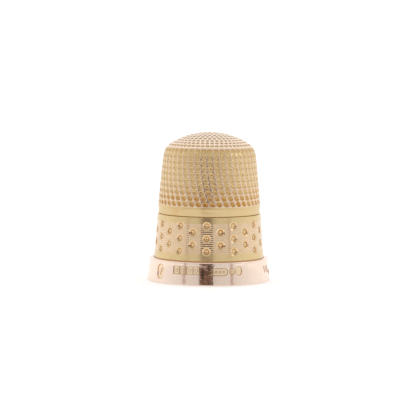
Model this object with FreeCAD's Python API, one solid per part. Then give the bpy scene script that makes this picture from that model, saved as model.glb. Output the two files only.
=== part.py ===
import FreeCAD, Part
import math
import os

# A two-colour gold thimble, standing on its rim with its mouth down.
# Origin at the middle of the foot plane, +Z up through the crown, -Y the side with the stamped marks.
# Lengths in mm, angles in degrees.

# Overall sizes.
OVERALL_HEIGHT = 22.0
MOUTH_DIAMETER = 16.1
WALL_THICKNESS = 0.40
CROWN_THICKNESS = 0.60

# Outline of the body: a cone, then a slightly bowed wall, a round shoulder and a dome.
CONE_SLOPE = 0.0768
WALL_BOW_RADIUS = 200.0
SHOULDER_RADIUS = 2.3
DOME_RADIUS = 11.0
SEAM_ANGLE = 40.0

# Rim band: a flared strip, bent to a ring and soldered.
RIM_HEIGHT = 3.4
RIM_FOOT_THICKNESS = 0.75
RIM_TOP_THICKNESS = 0.66
RIM_FLARE_HOLLOW = 0.04
RIM_EDGE_RADIUS = 0.15
STRIP_GAP = 0.12

# Engine-turned border above the rim, and the plain turned waist above the border.
BORDER_HEIGHT = 6.48
BORDER_FOOT_MARGIN = 1.15
BORDER_TOP_MARGIN = 0.93
LINE_PITCH = 0.3
LINE_DEPTH = 0.04
WAIST_HEIGHT = 1.05
WAIST_DEPTH = 0.10

# Punched dots of the border, in columns of three and two.
DOT_COLUMNS = 24
DOT_LEVEL_PITCH = 0.93
DOT_RADIUS = 0.46
DOT_DEPTH = 0.21
DOT_COLLAR_RADIUS = 0.66
DOT_COLLAR_DEPTH = 0.05
DOT_FIRST_COLUMN_ANGLE = -2.5

# Knurled pits of the wall, in rows, each row turned a little further than the row above it.
WALL_PIT_SPACING = 1.04
WALL_ROW_PITCH = 0.88
WALL_FOOT_MARGIN = 0.38
WALL_PIT_RADIUS = 0.39
WALL_PIT_DEPTH = 0.17
ROW_TURN_GROWTH = 0.0176

# Knurled pits of the crown, in rings.
CROWN_PIT_SPACING = 0.70
CROWN_RING_PITCH = 0.69
CROWN_PIT_RADIUS = 0.28
CROWN_PIT_DEPTH = 0.13
CROWN_SEAM_MARGIN = 0.14
LEAST_RIDGE = 0.06

# Solder.
FOOT_INSET = 0.15
RIM_TOP_FILLET = 0.16
CROWN_FILLET = 0.20

# Blank stamps in the rim.
STAMP_DEPTH = 0.08
STAMP_MID_HEIGHT = 1.75
SMALL_STAMP_LIFT = 0.45
TALL_STAMP_ANGLE = -52
TALL_STAMP_SIZE = (1.35, 2.0)
TALL_STAMP_BAR = (0.3, 1.1, 0.35)
SQUARE_STAMP_ANGLES = (-32.2, -25.3, -18.4, -11.5)
SQUARE_STAMP_SIZE = (0.86, 1.1)
SQUARE_STAMP_DISC_RADIUS = 0.24
BEADED_STAMP_ANGLE = 9
BEADED_STAMP_SIZE = (2.7, 0.95)
BEADED_STAMP_DROP = 0.15
BEAD_RADIUS = 0.15
BEAD_PLACES = (-0.84, -0.28, 0.28, 0.84)
ROUND_STAMP_ANGLE = 22.5
ROUND_STAMP_RADIUS = 0.42
OVAL_STAMP_ANGLE = 29.5
OVAL_STAMP_SIZE = (0.85, 1.15)
STROKE_ANGLES = (66, 70, 74)
STROKE_SIZE = (0.2, 1.0, -0.4)
STROKE_LIFT = 0.2
LAST_STAMP_ANGLE = 80
LAST_STAMP_RADIUS = 0.3
LAST_STAMP_DROP = 0.3
CUTTER_LIFT = 0.04

ORIGIN = FreeCAD.Vector(0, 0, 0)
AXIS = FreeCAD.Vector(0, 0, 1)
OUTWARD = FreeCAD.Vector(1, 0, 0)

mouth_radius = MOUTH_DIAMETER / 2
foot_radius = mouth_radius + WALL_THICKNESS
border_top = RIM_HEIGHT + BORDER_HEIGHT
knurl_foot = border_top + WAIST_HEIGHT


def flat(r, z):
    """A point of the half section, which lies in the XZ plane."""
    return FreeCAD.Vector(r, 0, z)


def around(angle, r, z):
    """A point on the thimble, with its angle counted from the front, -Y, towards +X."""
    turn = math.radians(angle)
    return FreeCAD.Vector(r * math.sin(turn), -r * math.cos(turn), z)


def line(start, end):
    return Part.LineSegment(start, end).toShape()


def polyline(points):
    return [line(a, b) for a, b in zip(points, points[1:])]


def lathe(edges):
    """The solid that a closed half section sweeps about the axis."""
    return Part.Face(Part.Wire(edges)).revolve(ORIGIN, AXIS, 360)


def cone_radius(z):
    """Outer radius of the cone that carries the rim and the border."""
    return foot_radius - CONE_SLOPE * z


class Bend:
    """A circular stretch of the outline. Its angles run upwards from the horizontal."""

    def __init__(self, middle, radius, start, end):
        self.middle, self.radius, self.start, self.end = middle, radius, start, end

    def length(self):
        return self.radius * (self.end - self.start)

    def at(self, angle, inset=0.0):
        reach = self.radius - inset
        return flat(self.middle.x + reach * math.cos(angle), self.middle.z + reach * math.sin(angle))

    def arc(self, start, end, inset=0.0):
        middle = (start + end) / 2
        return Part.Arc(self.at(start, inset), self.at(middle, inset), self.at(end, inset)).toShape()


def make_outline():
    """The wall, the shoulder and the dome, each tangent to the next."""
    lean = math.atan(CONE_SLOPE)
    wall_middle = flat(
        cone_radius(knurl_foot) - WALL_BOW_RADIUS * math.cos(lean),
        knurl_foot - WALL_BOW_RADIUS * math.sin(lean),
    )
    dome_middle = flat(0, OVERALL_HEIGHT - DOME_RADIUS)
    # The shoulder's middle lies one shoulder radius inside both the wall and the dome.
    from_wall, from_dome = WALL_BOW_RADIUS - SHOULDER_RADIUS, DOME_RADIUS - SHOULDER_RADIUS
    gap = dome_middle - wall_middle
    along = (from_wall**2 - from_dome**2 + gap.Length**2) / (2 * gap.Length)
    across = math.sqrt(from_wall**2 - along**2)
    unit = FreeCAD.Vector(gap).normalize()
    shoulder_middle = wall_middle + unit * along + flat(-unit.z, unit.x) * across
    wall_end = math.atan2(shoulder_middle.z - wall_middle.z, shoulder_middle.x - wall_middle.x)
    dome_start = math.atan2(shoulder_middle.z - dome_middle.z, shoulder_middle.x - dome_middle.x)
    return (
        Bend(wall_middle, WALL_BOW_RADIUS, lean, wall_end),
        Bend(shoulder_middle, SHOULDER_RADIUS, wall_end, dome_start),
        Bend(dome_middle, DOME_RADIUS, dome_start, math.pi / 2),
    )


wall_bend, shoulder_bend, dome_bend = make_outline()
seam_angle = math.radians(SEAM_ANGLE)
seam_length = wall_bend.length() + shoulder_bend.radius * (seam_angle - shoulder_bend.start)


def outline_at(distance):
    """The outline's point and the angle of its normal, a distance up from the knurling's foot."""
    for bend in (wall_bend, shoulder_bend, dome_bend):
        if distance <= bend.length() or bend is dome_bend:
            angle = bend.start + distance / bend.radius
            return bend.at(angle), angle
        distance -= bend.length()


def dimple(radius, depth):
    """The cutter of one round pit. Its mouth lies on the surface and +X is outwards."""
    ball = (radius**2 + depth**2) / (2 * depth)
    middle = ball - depth
    half_turn = math.acos((middle - CUTTER_LIFT) / ball)
    bottom = FreeCAD.Vector(-depth, 0, 0)
    side = FreeCAD.Vector(middle - ball * math.cos(half_turn / 2), 0, ball * math.sin(half_turn / 2))
    edge = FreeCAD.Vector(CUTTER_LIFT, 0, ball * math.sin(half_turn))
    lid = FreeCAD.Vector(CUTTER_LIFT, 0, 0)
    wire = Part.Wire([Part.Arc(bottom, side, edge).toShape(), line(edge, lid), line(lid, bottom)])
    return Part.Face(wire).revolve(ORIGIN, OUTWARD, 360)


def placed(tool, angle, point, normal_angle):
    """A copy of a cutter, set on the outline's point and turned to the front angle given."""
    turn = math.radians(angle)
    level = math.cos(normal_angle)
    normal = FreeCAD.Vector(level * math.sin(turn), -level * math.cos(turn), math.sin(normal_angle))
    copy = tool.copy()
    copy.Placement = FreeCAD.Placement(
        around(angle, point.x, point.z), FreeCAD.Rotation(OUTWARD, normal)
    )
    return copy


def cut_ring_of_pits(solid, distance, count, first_angle, radius, depth):
    """Cuts evenly spaced pits round the outline, at one distance up it."""
    point, normal_angle = outline_at(distance)
    room = math.pi * point.x / count - LEAST_RIDGE / 2 if count > 1 else radius
    tool = dimple(min(radius, room), depth)
    pits = [placed(tool, first_angle + 360 * k / count, point, normal_angle) for k in range(count)]
    return solid.cut(pits)


def border_profile():
    """The engraved lines and plain margins of the border, from the rim's top to the waist."""
    low, high = RIM_HEIGHT + BORDER_FOOT_MARGIN, border_top - BORDER_TOP_MARGIN
    count = round((high - low) / LINE_PITCH)
    pitch = (high - low) / count
    points = []
    for k in range(count):
        z = low + pitch * (k + 0.25)
        points.append(flat(cone_radius(z), z))
        points.append(flat(cone_radius(z + pitch / 4) - LINE_DEPTH, z + pitch / 4))
        points.append(flat(cone_radius(z + pitch / 2), z + pitch / 2))
    return points


def make_side_wall():
    """The tapered tube: plain skirt, engraved border, turned waist and knurled wall."""
    waist_radius = cone_radius(knurl_foot) - WAIST_DEPTH
    outside = [flat(cone_radius(FOOT_INSET), FOOT_INSET), *border_profile()]
    outside += [flat(cone_radius(border_top), border_top), flat(waist_radius, border_top)]
    outside += [flat(waist_radius, knurl_foot), wall_bend.at(wall_bend.start)]
    seam_inside = shoulder_bend.at(seam_angle, WALL_THICKNESS)
    inner_foot = flat(cone_radius(FOOT_INSET) - WALL_THICKNESS, FOOT_INSET)
    edges = polyline(outside)
    edges.append(wall_bend.arc(wall_bend.start, wall_bend.end))
    edges.append(shoulder_bend.arc(shoulder_bend.start, seam_angle))
    edges.append(line(shoulder_bend.at(seam_angle), seam_inside))
    edges.append(shoulder_bend.arc(seam_angle, shoulder_bend.start, WALL_THICKNESS))
    edges.append(wall_bend.arc(wall_bend.end, wall_bend.start, WALL_THICKNESS))
    edges.append(line(wall_bend.at(wall_bend.start, WALL_THICKNESS), inner_foot))
    edges.append(line(inner_foot, outside[0]))
    solid = lathe(edges)
    solid = knurl_wall(solid)
    return punch_border(solid)


def knurl_wall(solid):
    room = seam_length - WALL_FOOT_MARGIN
    rows = round(room / WALL_ROW_PITCH)
    count = round(2 * math.pi * cone_radius(knurl_foot) / WALL_PIT_SPACING)
    for row in range(rows):
        below_top = rows - 1 - row
        turn = ROW_TURN_GROWTH * below_top**2 * 360 / count
        distance = WALL_FOOT_MARGIN + room * (row + 0.5) / rows
        solid = cut_ring_of_pits(solid, distance, count, turn, WALL_PIT_RADIUS, WALL_PIT_DEPTH)
    return solid


def dot_punch():
    """The border's punch: a round-nosed pin in the middle of a flat collar."""
    ball = (DOT_RADIUS**2 + DOT_DEPTH**2) / (2 * DOT_DEPTH)
    middle = ball - DOT_DEPTH
    half_turn = math.acos((middle + DOT_COLLAR_DEPTH) / ball)
    bottom = FreeCAD.Vector(-DOT_DEPTH, 0, 0)
    side = FreeCAD.Vector(middle - ball * math.cos(half_turn / 2), 0, ball * math.sin(half_turn / 2))
    neck = FreeCAD.Vector(-DOT_COLLAR_DEPTH, 0, ball * math.sin(half_turn))
    collar = FreeCAD.Vector(-DOT_COLLAR_DEPTH, 0, DOT_COLLAR_RADIUS)
    edge = FreeCAD.Vector(CUTTER_LIFT, 0, DOT_COLLAR_RADIUS)
    lid = FreeCAD.Vector(CUTTER_LIFT, 0, 0)
    edges = [Part.Arc(bottom, side, neck).toShape(), *polyline([neck, collar, edge, lid, bottom])]
    return Part.Face(Part.Wire(edges)).revolve(ORIGIN, OUTWARD, 360)


def punch_border(solid):
    """Punches the dots, three and two by turns, so that each stands between its neighbours."""
    tool = dot_punch()
    centre = (RIM_HEIGHT + BORDER_FOOT_MARGIN + border_top - BORDER_TOP_MARGIN) / 2
    lean = math.atan(CONE_SLOPE)
    for levels, first in (((-2, 0, 2), 0), ((-1, 1), 1)):
        for level in levels:
            z = centre + level * DOT_LEVEL_PITCH
            point = flat(cone_radius(z), z)
            angles = [
                DOT_FIRST_COLUMN_ANGLE + 360 * column / DOT_COLUMNS
                for column in range(first, DOT_COLUMNS, 2)
            ]
            solid = solid.cut([placed(tool, angle, point, lean) for angle in angles])
    return solid


def crown_inner_arc():
    """The underside of the crown, from the seam to the pole, as a centre-line arc."""
    edge = shoulder_bend.at(seam_angle, CROWN_THICKNESS)
    pole = flat(0, OVERALL_HEIGHT - CROWN_THICKNESS)
    rise = pole.z - edge.z
    radius = (edge.x**2 + rise**2) / (2 * rise)
    half_turn = math.asin(edge.x / radius) / 2
    side = flat(radius * math.sin(half_turn), pole.z - radius * (1 - math.cos(half_turn)))
    return edge, side, pole


def make_crown_cap():
    """The domed disc that closes the top, knurled in rings."""
    edge, side, pole = crown_inner_arc()
    top = flat(0, OVERALL_HEIGHT)
    edges = [shoulder_bend.arc(seam_angle, shoulder_bend.end)]
    edges.append(dome_bend.arc(dome_bend.start, dome_bend.end))
    edges.append(line(top, pole))
    edges.append(Part.Arc(pole, side, edge).toShape())
    edges.append(line(edge, shoulder_bend.at(seam_angle)))
    solid = lathe(edges)
    full_length = sum(bend.length() for bend in (wall_bend, shoulder_bend, dome_bend))
    room = full_length - seam_length - CROWN_SEAM_MARGIN
    rings = round(room / CROWN_RING_PITCH - 0.5)
    for ring in range(rings + 1):
        distance = full_length - room * ring / (rings + 0.5)
        point, _ = outline_at(distance)
        count = max(1, round(2 * math.pi * point.x / CROWN_PIT_SPACING))
        solid = cut_ring_of_pits(solid, distance, count, 0, CROWN_PIT_RADIUS, CROWN_PIT_DEPTH)
    return solid


def rim_radius(z):
    """Outer radius of the rim on the chord of its flare."""
    foot = foot_radius + RIM_FOOT_THICKNESS
    top = cone_radius(RIM_HEIGHT) + RIM_TOP_THICKNESS
    return foot + (top - foot) * z / RIM_HEIGHT


def make_rim_band():
    """The rose-gold ring, slit at the back where the ends of its strip meet."""
    outer_foot, outer_top = flat(rim_radius(0), 0), flat(rim_radius(RIM_HEIGHT), RIM_HEIGHT)
    hollow = flat(rim_radius(RIM_HEIGHT / 2) - RIM_FLARE_HOLLOW, RIM_HEIGHT / 2)
    inner_top, inner_foot = flat(cone_radius(RIM_HEIGHT), RIM_HEIGHT), flat(foot_radius, 0)
    flare = Part.Arc(outer_foot, hollow, outer_top).toShape()
    ring = lathe([flare, *polyline([outer_top, inner_top, inner_foot, outer_foot])])
    outer_edges = [
        e for e in ring.Edges
        if e.Closed and abs(e.Curve.Radius - rim_radius(e.Curve.Center.z)) < STRIP_GAP / 2
    ]
    ring = ring.makeFillet(RIM_EDGE_RADIUS, outer_edges)
    return ring


def strip_slab():
    """The slab of space between the two ends of the rim's strip, at the back."""
    reach = 2 * (foot_radius + RIM_FOOT_THICKNESS)
    corner = FreeCAD.Vector(-STRIP_GAP / 2, 0, -RIM_HEIGHT)
    return Part.makeBox(STRIP_GAP, reach, 3 * RIM_HEIGHT, corner)


def rim_core():
    """The body under the rim's skin. It is taken away from the stamps, to give them one depth."""
    foot, top = rim_radius(0) - STAMP_DEPTH, rim_radius(RIM_HEIGHT) - STAMP_DEPTH
    hollow = flat(rim_radius(RIM_HEIGHT / 2) - RIM_FLARE_HOLLOW - STAMP_DEPTH, RIM_HEIGHT / 2)
    flare = Part.Arc(flat(foot, 0), hollow, flat(top, RIM_HEIGHT)).toShape()
    ends = [flat(top, RIM_HEIGHT), flat(0, RIM_HEIGHT), flat(0, 0), flat(foot, 0)]
    return lathe([flare, *polyline(ends)])


def stamp_tool(face, angle, height):
    """A stamp's flat face, pushed through the rim's skin at a front angle and a height."""
    start = rim_radius(height) - RIM_TOP_THICKNESS
    tool = face.extrude(OUTWARD * (RIM_TOP_THICKNESS + RIM_FOOT_THICKNESS))
    turn = FreeCAD.Rotation(AXIS, angle - 90)
    tool.Placement = FreeCAD.Placement(around(angle, start, height), turn)
    return tool


def rectangle(width, height, slant=0.0):
    """An upright four-sided face. Its top is moved sideways by the slant."""
    foot = [(-width / 2 - slant / 2, -height / 2), (width / 2 - slant / 2, -height / 2)]
    head = [(width / 2 + slant / 2, height / 2), (-width / 2 + slant / 2, height / 2)]
    points = [FreeCAD.Vector(0, y, z) for y, z in foot + head]
    return Part.Face(Part.makePolygon([*points, points[0]]))


def disc(radius, along=0.0):
    centre = FreeCAD.Vector(0, along, 0)
    return Part.Face(Part.Wire(Part.Circle(centre, OUTWARD, radius).toShape()))


def capsule(width, height):
    """A face with round ends, upright or lying down."""
    radius = min(width, height) / 2
    run = abs(width - height) / 2
    ends = [FreeCAD.Vector(0, run, 0), FreeCAD.Vector(0, -run, 0)]
    side = FreeCAD.Vector(0, 0, radius)
    cap = FreeCAD.Vector(0, radius, 0)
    edges = [
        line(ends[1] - side, ends[0] - side),
        Part.Arc(ends[0] - side, ends[0] + cap, ends[0] + side).toShape(),
        line(ends[0] + side, ends[1] + side),
        Part.Arc(ends[1] + side, ends[1] - cap, ends[1] - side).toShape(),
    ]
    face = Part.Face(Part.Wire(edges))
    if height > width:
        face.rotate(ORIGIN, OUTWARD, 90)
    return face


def stamps():
    """The rim's blank stamps, in their order round the front from left to right."""
    small_height = STAMP_MID_HEIGHT + SMALL_STAMP_LIFT
    tall = capsule(*TALL_STAMP_SIZE).cut(rectangle(*TALL_STAMP_BAR))
    tools = [stamp_tool(tall, TALL_STAMP_ANGLE, STAMP_MID_HEIGHT)]
    for angle in SQUARE_STAMP_ANGLES:
        square = rectangle(*SQUARE_STAMP_SIZE).cut(disc(SQUARE_STAMP_DISC_RADIUS))
        tools.append(stamp_tool(square, angle, small_height))
    beaded = capsule(*BEADED_STAMP_SIZE)
    for along in BEAD_PLACES:
        beaded = beaded.cut(disc(BEAD_RADIUS, along))
    tools.append(stamp_tool(beaded, BEADED_STAMP_ANGLE, small_height - BEADED_STAMP_DROP))
    tools.append(stamp_tool(disc(ROUND_STAMP_RADIUS), ROUND_STAMP_ANGLE, small_height))
    tools.append(stamp_tool(capsule(*OVAL_STAMP_SIZE), OVAL_STAMP_ANGLE, small_height))
    for angle in STROKE_ANGLES:
        tools.append(stamp_tool(rectangle(*STROKE_SIZE), angle, STAMP_MID_HEIGHT + STROKE_LIFT))
    last_height = STAMP_MID_HEIGHT - LAST_STAMP_DROP
    tools.append(stamp_tool(disc(LAST_STAMP_RADIUS), LAST_STAMP_ANGLE, last_height))
    core = rim_core()
    return [tool.cut(core) for tool in tools]


def fillet_ring(corner, first, second):
    """A ring of solder in a corner, three-sided in section."""
    return lathe(polyline([corner, first, second, corner]))


def make_rim_top_solder():
    corner = flat(cone_radius(RIM_HEIGHT), RIM_HEIGHT)
    out = corner + flat(RIM_TOP_FILLET, 0)
    up_height = RIM_HEIGHT + RIM_TOP_FILLET
    return fillet_ring(corner, out, flat(cone_radius(up_height), up_height))


def make_rim_foot_solder():
    corner = flat(cone_radius(FOOT_INSET), FOOT_INSET)
    down_height = FOOT_INSET / 6
    down = flat(cone_radius(down_height), down_height)
    return fillet_ring(corner, corner - flat(FOOT_INSET, 0), down)


def make_crown_solder():
    """The solder inside the crown's seam, on the ledge of the thicker crown."""
    corner = shoulder_bend.at(seam_angle, WALL_THICKNESS)
    ledge = shoulder_bend.at(seam_angle, CROWN_THICKNESS)
    low_angle = seam_angle - CROWN_FILLET / (SHOULDER_RADIUS - WALL_THICKNESS)
    low = shoulder_bend.at(low_angle, WALL_THICKNESS)
    arc = shoulder_bend.arc(low_angle, seam_angle, WALL_THICKNESS)
    return lathe([arc, line(corner, ledge), line(ledge, low)])


def main():
    os.makedirs("parts", exist_ok=True)
    ring = make_rim_band()
    slab = strip_slab()
    parts = {
        "crown_cap": make_crown_cap(),
        "side_wall": make_side_wall(),
        "rim_band": ring.cut(slab).cut(stamps()),
        "rim_strip_solder": ring.common(slab),
        "rim_top_solder": make_rim_top_solder(),
        "rim_foot_solder": make_rim_foot_solder(),
        "crown_seam_solder": make_crown_solder(),
    }
    for name, shape in parts.items():
        solids = shape.Solids
        print(name, "valid", shape.isValid(), "solids", len(solids), "faces", len(shape.Faces),
              "volume", round(shape.Volume, 3))
        whole = solids[0] if len(solids) == 1 else Part.makeCompound(solids)
        whole.exportStep(f"parts/{name}.step")


main()
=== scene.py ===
import math

import bmesh
import bpy
import numpy as np
from bpy.props import FloatProperty, FloatVectorProperty, IntProperty, PointerProperty
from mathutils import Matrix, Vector


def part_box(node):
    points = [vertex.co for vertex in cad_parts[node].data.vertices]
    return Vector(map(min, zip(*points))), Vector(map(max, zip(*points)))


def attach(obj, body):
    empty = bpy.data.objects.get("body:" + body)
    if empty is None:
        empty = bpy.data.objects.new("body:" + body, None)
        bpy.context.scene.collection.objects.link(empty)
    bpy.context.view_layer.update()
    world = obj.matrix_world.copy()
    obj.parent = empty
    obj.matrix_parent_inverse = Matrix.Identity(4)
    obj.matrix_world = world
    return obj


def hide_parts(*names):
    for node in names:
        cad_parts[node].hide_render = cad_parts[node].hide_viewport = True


bl_info = {
    "name": "Thimble in two golds",
    "version": (1, 0, 0),
    "blender": (4, 5, 0),
    "location": "View3D > Sidebar > Thimble",
    "description": "Turns, knurls, engraves and solders a gold thimble round its packed frame",
    "category": "Add Mesh",
}

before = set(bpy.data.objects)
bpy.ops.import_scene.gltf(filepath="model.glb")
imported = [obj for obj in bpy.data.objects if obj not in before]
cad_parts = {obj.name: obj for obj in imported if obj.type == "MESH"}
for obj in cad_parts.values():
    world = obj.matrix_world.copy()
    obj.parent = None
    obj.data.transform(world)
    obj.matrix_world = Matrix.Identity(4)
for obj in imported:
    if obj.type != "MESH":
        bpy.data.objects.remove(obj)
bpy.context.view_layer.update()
rim_low, rim_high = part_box("rim_band")
wall_low, wall_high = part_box("side_wall")

MM = 0.001
MERGE = 0.002 * MM
FLOOR_CREASE = 0.25
# How deep the outer edge of a dot's collar lies, as a share of its inner edge's depth.
OUTER_COLLAR = 0.4


# ---- sizes and colours


def length(label, about, default):
    """A length that a user can change. Lengths are in metres, as in the frame."""
    return FloatProperty(name=label, description=about, default=default, unit="LENGTH", precision=5)


def count(label, about, default, least):
    return IntProperty(name=label, description=about, default=default, min=least)


def number(label, about, default, least=0.0):
    return FloatProperty(name=label, description=about, default=default, min=least)


def turn(label, about, default):
    return FloatProperty(name=label, description=about, default=math.radians(default), unit="ROTATION")


def colour(label, about, default):
    return FloatVectorProperty(name=label, description=about, default=default, size=3, min=0, max=1,
                               subtype="COLOR")


class BodySizes(bpy.types.PropertyGroup):
    """The outline of the tube and the crown."""

    height: length("Height", "From the foot to the top of the crown", 22.0 * MM)
    mouth: length("Mouth width", "Inside width of the tube, carried down to the foot plane", 16.1 * MM)
    wall: length("Wall", "Thickness of the tube", 0.40 * MM)
    crown_wall: length("Crown wall", "Thickness of the crown", 0.60 * MM)
    slope: number("Cone slope", "How much the radius falls for each unit of height", 0.0768)
    bow: length("Wall bow", "Radius of the wall's slight outward bow", 200.0 * MM)
    shoulder: length("Shoulder", "Radius of the shoulder", 2.3 * MM)
    dome: length("Dome", "Radius of the dome", 11.0 * MM)
    seam: turn("Seam", "Where on the shoulder the crown meets the wall", 40.0)
    border_height: length("Border height", "From the rim to the waist", 6.48 * MM)
    waist_height: length("Waist height", "Height of the plain turned waist", 1.05 * MM)
    waist_depth: length("Waist depth", "How far the waist is cut in", 0.08 * MM)


class KnurlSizes(bpy.types.PropertyGroup):
    """The rows of pits in the wall and the rings of pits in the crown."""

    columns: count("Columns", "Pits in each row of the wall", 46, 8)
    rows: count("Rows", "Rows of pits in the wall", 10, 2)
    foot_margin: length("Foot margin", "Plain ridge under the lowest row", 0.38 * MM)
    lip: length("Lip", "Half the width of an upright ridge's crest", 0.025 * MM)
    bank: length("Bank", "Width of the bank that falls from a ridge into its pit", 0.12 * MM)
    depth: length("Depth", "Depth of a wall pit", 0.20 * MM)
    stretch: number("Stretch", "How many times narrower a level bank is than an upright one", 2.6, 1.0)
    low_rows: count("Lower rows", "How many rows keep their level ridges", 4, 0)
    low_sag: length("Lower sag", "How far the lower rows' level ridges sag in the middle", 0.06 * MM)
    high_sag: length("Upper sag", "The same for the upper rows, worn into upright troughs", 0.10 * MM)
    drift: number("Drift", "Growth of the turn from row to row, in pits", 0.0176)
    unevenness: length("Unevenness", "How far the pits' floors stray", 0.035 * MM)
    rings: count("Rings", "Rings of pits in the crown", 9, 2)
    ring_margin: length("Ring margin", "Plain edge of the crown by the seam", 0.14 * MM)
    ring_pitch: length("Pit spacing", "Spacing of the pits along a ring", 0.70 * MM)
    ring_ridge: length("Ring ridge", "Plain ridge between two rings", 0.07 * MM)
    ring_lip: length("Ring lip", "Half the ridge between two pits of a ring", 0.07 * MM)
    ring_bank: length("Ring bank", "Width of the bank round a crown pit", 0.10 * MM)
    ring_depth: length("Ring depth", "Depth of a crown pit", 0.24 * MM)


class BorderSizes(bpy.types.PropertyGroup):
    """The engraved lines and the punched dots."""

    foot_margin: length("Foot margin", "Plain margin above the rim", 1.15 * MM)
    top_margin: length("Top margin", "Plain margin under the waist", 0.93 * MM)
    lines: count("Lines", "Engraved lines", 15, 2)
    line_depth: length("Line depth", "Depth of an engraved line", 0.05 * MM)
    columns: count("Dot columns", "Columns of dots", 24, 4)
    level: length("Level", "Height between one dot and the next column's dot", 0.93 * MM)
    dot: length("Dot", "Radius of a dot's ball where it would meet the skin", 0.56 * MM)
    dot_depth: length("Dot depth", "Depth of a dot", 0.21 * MM)
    collar: length("Collar", "Radius of the dished ring pressed round a dot", 0.66 * MM)
    collar_depth: length("Collar depth", "Depth of the dished ring where it meets the dot", 0.08 * MM)
    first: turn("First column", "Place of the first column, from the front", -2.5)


class RimSizes(bpy.types.PropertyGroup):
    """The flared band and its stamps."""

    foot: length("Foot thickness", "Thickness of the band at the foot", 0.75 * MM)
    top: length("Top thickness", "Thickness of the band at its top edge", 0.66 * MM)
    hollow: length("Hollow", "How far the flare is hollowed", 0.04 * MM)
    edge: length("Edge", "Radius of the worn edges", 0.15 * MM)
    gap: length("Gap", "Gap between the ends of the bent strip", 0.12 * MM)
    stamp: length("Stamp depth", "Depth of the blank stamps", 0.09 * MM)
    stamp_height: length("Stamp height", "Height of the middle of the tall stamps", 1.75 * MM)
    stamp_lift: length("Stamp lift", "How much higher the middle of the small stamps is", 0.45 * MM)
    stamp_step: length("Stamp step", "Width of the step round a stamp, half as deep", 0.11 * MM)
    solder: length("Solder", "Size of the solder fillet on the rim's top edge", 0.12 * MM)
    crown_solder: length("Crown solder", "Size of the solder fillet inside the crown", 0.20 * MM)


class GoldColours(bpy.types.PropertyGroup):
    """The colours of the metal."""

    yellow: colour("Yellow gold", "The wall, in its hollows", (0.705, 0.53, 0.28))
    worn: colour("Worn gold", "Worn ridges of the wall", (0.76, 0.56, 0.39))
    polished: colour("Polished gold", "The engraved band between its margins", (0.77, 0.58, 0.395))
    deep: colour("Deep pits", "The floor of the pits, where dirt and oil stay", (0.52, 0.25, 0.055))
    # Painted shade: the orange that light bouncing inside a punched dot gives its banks.
    dots: colour("Dots", "The banks of the punched dots", (0.44, 0.15, 0.045))
    rose: colour("Rose gold", "The rim", (0.90, 0.72, 0.60))
    crown: colour("Crown gold", "The crown", (0.89, 0.73, 0.59))
    crown_pits: colour("Crown pits", "The banks of the crown's pits", (0.78, 0.57, 0.36))
    stamps: colour("Stamps", "Floors of the blank stamps", (0.90, 0.71, 0.50))
    # Painted shade on the half-deep step round each stamp.
    stamp_edge_shade: colour("Stamp edges", "Edges of the stamps", (0.50, 0.27, 0.09))
    solder: colour("Solder", "The solder, browned by heat", (0.44, 0.22, 0.10))
    # Painted shade for the hollows: in the crown's pits, darker towards the apex.
    hollow_shade: colour("Hollow shade", "Dark film in the corners", (0.20, 0.10, 0.04))


class StageSizes(bpy.types.PropertyGroup):
    """The camera, the floor and the cards that the polished rim reflects."""

    distance: length("Camera distance", "From the thimble's axis to the camera", 0.300)
    eye: length("Eye height", "Height of the camera over the floor", 0.036)
    target: length("Target height", "Height on the axis that the camera looks at", 0.01065)
    aside: length("Aside", "How far left of the axis the camera looks", 0.00018)
    roll: turn("Roll", "Tilt of the camera", 0.5)
    lens: number("Lens", "Focal length in millimetres", 174.7, 1.0)
    floor: length("Floor", "Width of the floor", 6.0)
    card_distance: length("Card distance", "From the axis to the cards and the lamp", 0.60)
    dark: colour("Dark card", "The card that the middle of the rim reflects", (0.20, 0.105, 0.07))
    blotches: colour("Blotches", "Blotches on the dark card", (0.035, 0.018, 0.012))
    pole: colour("Poles", "The two poles beside the dark card", (0.50, 0.41, 0.38))
    lamp: number("Lamp", "Power of the small lamp in watts", 0.06)
    lamp_size: length("Lamp size", "Width of the lamp", 0.10)
    lamp_around: turn("Lamp direction", "Direction of the lamp, round from the front", 75.0)
    lamp_up: turn("Lamp height", "Angle of the lamp over the floor", 25.0)


GROUPS = {
    "thimble_body": BodySizes,
    "thimble_knurl": KnurlSizes,
    "thimble_border": BorderSizes,
    "thimble_rim": RimSizes,
    "thimble_gold": GoldColours,
    "thimble_stage": StageSizes,
}


# ---- outline


class Bend:
    """A round stretch of the outline. Its angles run upwards from the horizontal."""

    def __init__(self, middle, radius, start, end):
        self.middle, self.radius, self.start, self.end = middle, radius, start, end

    def length(self):
        return self.radius * (self.end - self.start)

    def at(self, angle, inset=0.0):
        reach = self.radius - inset
        return self.middle + reach * Vector((math.cos(angle), math.sin(angle)))


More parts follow.
